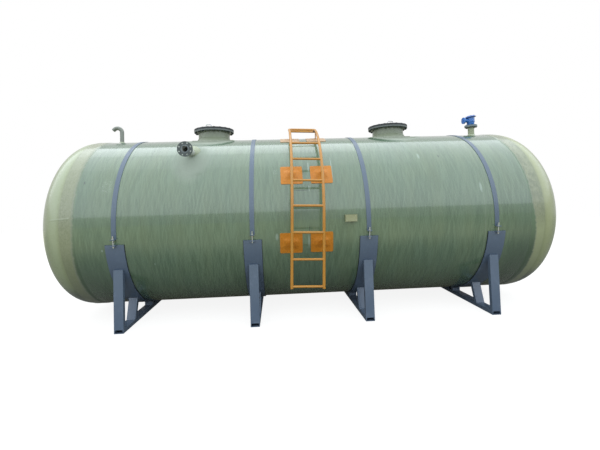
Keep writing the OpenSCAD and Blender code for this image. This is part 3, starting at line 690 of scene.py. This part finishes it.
def ring(section, steps):
    """Adds a ring: a closed section of (radius, height) points is spun once about Z."""
    bpy.ops.mesh.primitive_circle_add(vertices=len(section), radius=1)
    mesh = bmesh.from_edit_mesh(bpy.context.object.data)
    for point, (radius, height) in zip([v for v in mesh.verts if v.select], section):
        point.co = (radius, 0, height)
    bmesh.update_edit_mesh(bpy.context.object.data)
    bpy.ops.mesh.spin(steps=steps, angle=2 * math.pi, center=(0, 0, 0), axis=(0, 0, 1))


def round_section(radius, thick):
    """The section of a round bead that lies in a circle."""
    turns = [2 * math.pi * i / BEAD_SIDES for i in range(BEAD_SIDES)]
    return [(radius + thick * math.cos(t), thick * math.sin(t)) for t in turns]


print("helpers: rod, ring, round_section")

# %% [markdown]
# Once a shape is ready its doubles are merged and its normals turned outwards. Then it is copied: a matrix
# for each place moves the copy's mesh, so that the object itself stays at the origin. The last step gives the
# piece its finish and hangs it on the tank's one body.

# %% Copy a shape to its places and hang it on the tank
def fit(name, model, places, material, smooth=35):
    """Models a shape, copies it to each place, joins the copies and hangs the piece on the tank."""
    shape = begin(name + "_shape")
    model()
    bpy.ops.mesh.select_all(action="SELECT")
    bpy.ops.mesh.remove_doubles(threshold=1e-6)
    bpy.ops.mesh.normals_make_consistent(inside=False)
    bpy.ops.object.mode_set(mode="OBJECT")
    bpy.ops.object.select_all(action="DESELECT")
    for place in places:
        piece = bpy.data.objects.new(name, shape.data.copy())
        piece.data.transform(place)
        bpy.context.scene.collection.objects.link(piece)
        piece.select_set(True)
    bpy.context.view_layer.objects.active = piece
    bpy.data.objects.remove(shape)
    bpy.ops.object.join()
    piece = bpy.context.object
    piece.name = name
    piece.data.materials.append(material)
    bpy.ops.object.shade_smooth_by_angle(angle=math.radians(smooth))
    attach(piece, "root")
    print(name, len(piece.data.polygons), "faces at", len(places), "places")


print("helper: fit")

# %% [markdown]
# A place is a matrix: where a copy goes and how it is turned. The ones that come back are a
# place turned about one axis, a circle of places for bolts and screws, and a set of places
# moved together.

# %% Places
QUARTER = math.pi / 2
axis = Matrix.Translation((0, axis_y, axis_z))


def turned(spot, angle, about):
    """A place at a spot, turned about one axis."""
    return Matrix.Translation(spot) @ Matrix.Rotation(angle, 4, about)


def circle_of(count, radius, first=0.5):
    """Places round a circle about Z, the first one so many steps from +X."""
    return [Matrix.Rotation((i + first) * 2 * math.pi / count, 4, "Z") @ Matrix.Translation((radius, 0, 0))
            for i in range(count)]


def moved(place, places):
    """The same places, counted from another one."""
    return [place @ other for other in places]


print("helpers: turned, circle_of, moved")

# %% [markdown]
# Some CAD nodes hold several solids, such as the eight rungs. To place a weld or a bolt on
# each, the solids are told apart: a copy of the mesh is merged, and from any one corner the
# edges lead to all the corners of the same solid. The copy is then thrown away.

# %% Tell a node's solids apart
def solids(name):
    """The lowest and highest corners of each solid of a CAD node, from left to right."""
    mesh = bmesh.new()
    mesh.from_mesh(nodes[name].data)
    bmesh.ops.remove_doubles(mesh, verts=mesh.verts, dist=1e-5)
    waiting, found = set(mesh.verts), []
    while waiting:
        reached = [waiting.pop()]
        for corner in reached:
            for edge in corner.link_edges:
                other = edge.other_vert(corner)
                if other in waiting:
                    waiting.remove(other)
                    reached.append(other)
        found.append([Vector(pick(c.co[i] for c in reached) for i in range(3)) for pick in (min, max)])
    mesh.free()
    return sorted(found, key=lambda box: (round(box[0].x, 3), round(box[0].z, 3), box[0].y))


rung_boxes = sorted(solids("ladder_rungs"), key=lambda box: box[0].z)
pad_boxes, handle_boxes = solids("ladder_pads"), solids("manway_handles")
print(len(rung_boxes), "rungs;", len(pad_boxes), "pads;", len(handle_boxes), "handles")

# %% [markdown]
# ## Bolts of the covers and of the valve
# Bolt sizes follow the holes: M20 in the manways, M16 at the valve. Every measure of a bolt
# is a share of its diameter, so one function serves both. A bolt is five closed parts that
# pass into each other: washer and head above, nut and washer below, and the shank.

# %% A bolt through a flange
M20, M16 = 0.020, 0.016
COVER_BOLTS, COVER_BOLT_IN = 20, 0.0225
VALVE_BOLTS, VALVE_BOLT_RING = 8, 0.080


def through_bolt(d, grip):
    """Adds a bolt of diameter d with its upper washer on Z = 0 and its nut under the grip."""
    washer, hexagon = 0.92 * d, 0.866 * d
    rod(washer, 0, 0.08 * d)
    rod(hexagon, 0.08 * d, 0.30 * d, sides=6, chamfer=0.06 * d)
    rod(washer, -grip - 0.1 * d, -grip)
    rod(hexagon, -grip - 0.6 * d, -grip - 0.1 * d, sides=6, chamfer=0.06 * d)
    rod(0.49 * d, -grip - 0.75 * d, 0.2 * d, sides=16, chamfer=0.07 * d)


for side in ("left", "right"):
    low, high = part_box(f"{side}_manway_cover")
    grip = high[2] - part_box(f"{side}_manway_flange")[0][2]
    bolt_circle = circle_of(COVER_BOLTS, (high[0] - low[0]) / 2 - COVER_BOLT_IN)
    top = Matrix.Translation(middle_of(f"{side}_manway_cover"))
    fit(f"{side}_manway_bolts", lambda: through_bolt(M20, grip), moved(top, bolt_circle),
        dark_steel)

valve_top = Matrix.Translation(Vector((*middle_of("valve_nozzle_flange")[:2], axis_z + foot_top)))
valve_grip = axis_z + foot_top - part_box("valve_nozzle_flange")[0][2]
fit("valve_foot_bolts", lambda: through_bolt(M16, valve_grip),
    moved(valve_top, circle_of(VALVE_BOLTS, VALVE_BOLT_RING)), dark_steel)

# %% [markdown]
# ## Feathered edges of the joints
# A laminator never leaves a joint with a step: the last layers are feathered out over the
# shell. A wedge is spun once round the tank and laid against the inner edge of each joint.

# %% Feathered edges
joint_low, joint_high = (Vector(corner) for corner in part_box("right_joint_band"))
joint_r = (joint_high.z - joint_low.z) / 2
FEATHER, LAP, SUNK = 0.034, 0.0002, 0.002


def feather():
    """A wedge as thick as the joint at one edge and nearly nothing at the other."""
    inside_r = shell_r - SUNK
    ring([(shell_r + 0.0001, -FEATHER), (joint_r, LAP), (inside_r, LAP), (inside_r, -FEATHER)], 256)


edges = [axis @ turned((end * joint_low.x, 0, 0), end * QUARTER, "Y") for end in (-1, 1)]
fit("joint_feathers", feather, edges, joint_laminate)

# %% [markdown]
# ## Gaskets and the nozzle's raised ring
# A rubber gasket is squeezed a little way out between each cover and its flange. The side
# nozzle has no cover, so its sealing ring shows: a low raised face round the bore. Each is
# a ring, and its section is a list of (radius, height) points.

# %% Gaskets and face ring
GASKET = [(0.3205, -0.0015), (0.3238, -0.0015), (0.3245, 0.0), (0.3238, 0.0015), (0.3205, 0.0015)]
RAISED_FACE = [(0.0400, -0.002), (0.0530, -0.002), (0.0530, 0.0012), (0.0522, 0.002),
               (0.0408, 0.002), (0.0400, 0.0012)]
covers = [Matrix.Translation(middle_of(f"{side}_manway_flange")) for side in ("left", "right")]
fit("manway_gaskets", lambda: ring(GASKET, 128), covers, rubber)
nozzle_face = turned((nozzle_middle.x, nozzle_low.y, nozzle_middle.z), QUARTER, "X")
fit("nozzle_face_ring", lambda: ring(RAISED_FACE, 96), [nozzle_face], ring_paint)

# %% [markdown]
# ## Casting details of the valve
# The breather valve is an iron casting. Four webs brace its waist, a band runs round the
# body, and the lid is held by eight screws over a dark rubber rim. The side port ends in a
# blind disc with four screws and a plug.

# %% Webs and band
VALVE_BAND = [(0.0625, 0.060), (0.0655, 0.060), (0.0670, 0.0615), (0.0670, 0.0685),
              (0.0655, 0.070), (0.0625, 0.070)]


def web():
    """A thin wedge that leans on the waist: a block whose outer upper edge is drawn in."""
    bpy.ops.mesh.primitive_cube_add(size=1, scale=(0.034, 0.009, 0.046), location=(0.064, 0, 0.022))
    narrow(lambda point: point.co.x > 0.07 and point.co.z > 0.03, "VERT")
    bpy.ops.transform.translate(value=(-0.024, 0, 0))
    bpy.ops.mesh.select_all(action="SELECT")
    bpy.ops.mesh.bevel(offset=0.0015, affect="EDGES")


fit("valve_webs", web, moved(valve_top, circle_of(4, 0.0, first=0.0)), enamel)
fit("valve_band", lambda: ring(VALVE_BAND, 64), [valve_top], enamel)

# %% Screws of the lid and of the port
LID_H, LID_TILT, LID_RING, PORT_RING = 0.150, math.radians(-8), 0.0665, 0.044
lid = valve_top @ turned((0, 0, LID_H), LID_TILT, "Y")
port_low, port_high = (Vector(corner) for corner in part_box("valve_side_port"))
port_middle = (port_low + port_high) / 2
port_face = turned((port_low.x, port_middle.y, port_middle.z), -QUARTER, "Y")


def screw_head(d):
    """Adds a washer and a hexagon head of a screw of diameter d."""
    rod(0.9 * d, -0.3 * d, 0.15 * d)
    rod(0.866 * d, 0.15 * d, 0.75 * d, sides=6, chamfer=0.06 * d)


def plug():
    """Adds a round collar with a hexagon on it."""
    rod(0.017, -0.002, 0.004, sides=32, chamfer=0.001)
    rod(0.012, 0.004, 0.012, sides=6, chamfer=0.001)


fit("valve_lid_screws", lambda: screw_head(0.008),
    moved(lid @ Matrix.Translation((0, 0, 0.0105)), circle_of(8, LID_RING)), enamel)
fit("valve_lid_rim", lambda: ring(round_section(0.0850, 0.0035), 96),
    [lid @ Matrix.Translation((0, 0, -0.011))], rubber)
fit("valve_port_screws", lambda: screw_head(0.010), moved(port_face, circle_of(4, PORT_RING)),
    enamel)
fit("valve_port_plug", plug, [port_face], enamel)

# %% [markdown]
# ## Welds
# Each rung is welded to both stiles. The bead is a spun ring whose points are then pushed
# onto the round side of the stile: a point that stands off the ring's middle by y has to
# drop by r - sqrt(r^2 - y^2). The ladder leans a little, and its rungs' own middles tell by
# how much.

# %% Weld beads at the rungs
STILE_R, RUNG_R, STILE_OFF = 0.019, 0.015, 0.202
middles = [(low + high) / 2 - Vector((0, axis_y, axis_z)) for low, high in rung_boxes]
lean = math.atan2(middles[-1].x - middles[0].x, middles[-1].z - middles[0].z)
leaning = Matrix.Rotation(lean, 3, "Y")


def saddle_bead():
    """A bead round the rung, dropped onto the round side of the stile."""
    ring(round_section(RUNG_R + 0.001, 0.0032), 32)
    bpy.ops.mesh.select_all(action="SELECT")
    mesh = bmesh.from_edit_mesh(bpy.context.object.data)
    for point in mesh.verts:
        point.co.z -= STILE_R - math.sqrt(STILE_R ** 2 - min(point.co.y ** 2, 0.9 * STILE_R ** 2))
    bmesh.update_edit_mesh(bpy.context.object.data)


def rung_ends():
    """A place at each end of each rung: X along the stile, Z back along the rung."""
    for middle in middles:
        turn = max(0.0, math.atan2(middle.z / math.cos(lean), -middle.y))
        for side in (-1, 1):
            inward = leaning @ Vector((-side, 0, 0))
            up = leaning @ Vector((0, math.sin(turn), math.cos(turn)))
            turns = Matrix((up, inward.cross(up), inward)).transposed()
            spot = middle - inward * (STILE_OFF - STILE_R)
            yield axis @ Matrix.Translation(spot) @ turns.to_4x4()


fit("rung_welds", saddle_bead, list(rung_ends()), orange_paint, smooth=60)
print(f"the ladder leans {math.degrees(lean):.2f} degrees")

# %% [markdown]
# The lifting handles are bent from round bar and welded to the covers at both feet. The top
# rung is fixed with a bolt, whose head shows near its right end.

# %% Handle welds and the bolt of the top rung
HANDLE_R, RAIL_BOLT_IN = 0.007, 0.022
handle_feet = [Matrix.Translation((x, (low.y + high.y) / 2, low.z))
               for low, high in handle_boxes for x in (low.x + HANDLE_R, high.x - HANDLE_R)]
fit("handle_welds", lambda: ring(round_section(0.0085, 0.0028), 32), handle_feet,
    zinc_material, smooth=60)
top_low, top_high = rung_boxes[-1]
rail_end = turned((top_high.x - RAIL_BOLT_IN, top_low.y + 0.001, (top_low.z + top_high.z) / 2), QUARTER, "X")


def bolt_head():
    """Adds a washer with a hexagon head on it."""
    rod(0.0130, -0.006, 0.002)
    rod(0.0110, 0.002, 0.010, sides=6, chamfer=0.001)


fit("rail_bolt", bolt_head, [rail_end], dark_steel)

# %% [markdown]
# ## Laminate over the ladder's feet
# Each ladder arm ends in a steel foot that is bonded to its pad and laminated over, which
# leaves a soft mound. The mound is a fine grid, curved like the pad it lies on, with its
# middle pulled up by proportional editing, so that the slope is smooth. Its rim is then
# pulled down into the pad and filled.

# %% Mounds on the pads
MOUND_W, MOUND_L, MOUND_H = 0.250, 0.200, 0.0125
PAD_SEAT = 0.0063


def mound():
    """A curved patch with a soft rise in its middle and a rim that sinks into the pad."""
    bpy.ops.mesh.primitive_grid_add(x_subdivisions=28, y_subdivisions=18, size=1)
    bpy.ops.transform.resize(value=(MOUND_W, MOUND_L, 1))
    mesh = bmesh.from_edit_mesh(bpy.context.object.data)
    for point in mesh.verts:
        point.co.z = -point.co.y ** 2 / (2 * shell_r)
    bmesh.update_edit_mesh(bpy.context.object.data)
    narrow(lambda point: abs(point.co.x) < 0.070 and abs(point.co.y) < 0.030, "VERT")
    bpy.ops.transform.translate(value=(0, 0, MOUND_H), use_proportional_edit=True,
                                proportional_edit_falloff="SMOOTH", proportional_size=0.062)
    bpy.ops.mesh.select_mode(type="EDGE")
    bpy.ops.mesh.select_all(action="DESELECT")
    bpy.ops.mesh.select_non_manifold()
    bpy.ops.mesh.extrude_region_move(TRANSFORM_OT_translate={"value": (0, 0, -0.003)})
    bpy.ops.mesh.edge_face_add()


def on_shell(low, high):
    """A place just under a pad's outer face, with Z pointing away from the tank's axis."""
    spot = (low + high) / 2 - Vector((0, axis_y, axis_z))
    up_angle, out = math.atan2(spot.z, -spot.y), shell_r + PAD_SEAT
    point = (spot.x, -out * math.cos(up_angle), out * math.sin(up_angle))
    return axis @ turned(point, QUARTER - up_angle, "X")


fit("pad_mounds", mound, [on_shell(*box) for box in pad_boxes], orange_laminate, smooth=60)

# %% [markdown]
# ## The blank plate
# The bracket beside the ladder carries a plate with nothing on it, held by four rivets. The
# plate is a block with its front face inset and pressed in, which leaves a narrow frame.

# %% Plate and rivets
PLATE_IN, RIVET_IN = 0.012, 0.012
bracket_low, bracket_high = (Vector(corner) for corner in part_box("nameplate_bracket"))
bracket_middle = (bracket_low + bracket_high) / 2
plate_w, plate_h = bracket_high.x - bracket_low.x - PLATE_IN, bracket_high.z - bracket_low.z - PLATE_IN
plate_face = turned((bracket_middle.x, bracket_low.y, bracket_middle.z), QUARTER, "X")


def plate():
    """A thin block whose front is pressed in, inside a narrow frame."""
    bpy.ops.mesh.primitive_cube_add(size=1, scale=(plate_w, plate_h, 0.0025), location=(0, 0, 0.0008))
    narrow(lambda face: face.normal.z > 0.9)
    bpy.ops.mesh.inset(thickness=0.004)
    bpy.ops.transform.translate(value=(0, 0, -0.0006))


plate_paint = painted("plate_lacquer", (0.275, 0.290, 0.150), (0.36, 0.37, 0.22), 0.36, 0.3)
fit("blank_plate", plate, [plate_face], plate_paint)
across, up = plate_w / 2 - RIVET_IN, plate_h / 2 - RIVET_IN
corners = [Matrix.Translation((x * across, y * up, 0.0015)) for x in (-1, 1) for y in (-1, 1)]
fit("plate_rivets", lambda: rod(0.0035, -0.001, 0.002, sides=16, chamfer=0.0012),
    moved(plate_face, corners), zinc_material)

# %% [markdown]
# ## Floor and light
# A tank this glossy is lit by what it mirrors. One very large soft panel stands in for an
# overcast sky: its near edge sits low behind the camera, so the shell mirrors a bright sheet
# above mid-height and the dark ground below it. The sky brightens towards the panel's far
# edge, and narrower panels hung just under that end give the rise. The floor is a plain
# sheet that throws little light back. It is lifted to white for the camera, so only its
# shadow shows, and it is brighter in reflections some way off, like a yard beyond the shade.

# %% Floor
bpy.ops.object.select_all(action="DESELECT")
bpy.ops.mesh.primitive_plane_add(size=36, location=(0, 0, 0))
floor = bpy.context.object
floor.name = "floor"
sheet = Finish("floor_sheet", base_color=(0.20, 0.20, 0.19, 1), roughness=1.0, specular_ior_level=0.0,
               emission_strength=1.0)
seen_by_camera, mirrored = (sheet.node("LightPath", out=f"Is {kind} Ray") for kind in ("Camera", "Glossy"))
yard = sheet.span(sheet.y.call("ABSOLUTE"), 1.7, 3.4) * sheet.span(sheet.x, 6.5, 3.0, 0.45, 1.0)
glow, lift = mirrored * (yard * 0.5 + 0.02), seen_by_camera * 0.88
even = lift + glow
floor.data.materials.append(sheet.done(Emission_Color=sheet.vector(even, even, lift + glow * 0.62)))
print("floor", floor.dimensions.x, "m square")

# %% [markdown]
# The world is white to the camera. For a mirror or glass it is a little dimmer, and as light
# on the tank it is at half strength, so that the panels do most of the work.

# %% World
world = bpy.data.worlds.new("studio")
bpy.context.scene.world = world
world.use_nodes = True
sky = Graph(world.node_tree)
direct, glossy, through = (sky.node("LightPath", out=f"Is {kind} Ray")
                           for kind in ("Camera", "Glossy", "Transmission"))
white = world.node_tree.nodes["Background"].inputs
sky.feed(white["Strength"], direct.call("MAXIMUM", glossy.call("MAXIMUM", through) * 0.25 + 0.5))
sky.feed(white["Color"], (1, 1, 1, 1))
print("white backdrop,", len(sky.tree.nodes), "nodes")


# %% Sky panels
def panel(name, near, far, width, level, colour, middle=0.0):
    """A soft lamp that spans the tank between two points of the Y-Z plane, at a given brightness."""
    (y0, z0), (y1, z1) = near, far
    length = math.hypot(y1 - y0, z1 - z0)
    lamp = bpy.data.objects.new(name, bpy.data.lights.new(name, "AREA"))
    lamp.data.shape = "RECTANGLE"
    lamp.data.size, lamp.data.size_y = width, length
    lamp.data.energy = level * math.pi * width * length
    lamp.data.color = colour
    lamp.location = (middle, (y0 + y1) / 2, (z0 + z1) / 2)
    lamp.rotation_euler = (math.atan2(z1 - z0, y1 - y0), 0, 0)
    bpy.context.scene.collection.objects.link(lamp)
    print(name, f"{width} by {length:.1f} m")


horizon, roof = math.radians(8.5), math.radians(55)
low_edge = Vector((axis_y - 31.3, axis_z + 30 * math.tan(horizon)))
far_edge = Vector((axis_y + 6, axis_z + 0.7 + 6.4 * math.tan(roof)))
panel("sky_panel", low_edge, far_edge, width=90, level=1.25, colour=(0.92, 1.01, 1.12))
for layer, (share, level, middle) in enumerate([(0.24, 0.26, -17.2), (0.13, 0.45, -19.0)], 1):
    under = Vector((0, -0.12 * layer))
    panel(f"bright_sky_{layer}", far_edge.lerp(low_edge, share) + under, far_edge + under,
          width=44, level=level, colour=(0.96, 1.0, 1.04), middle=middle)
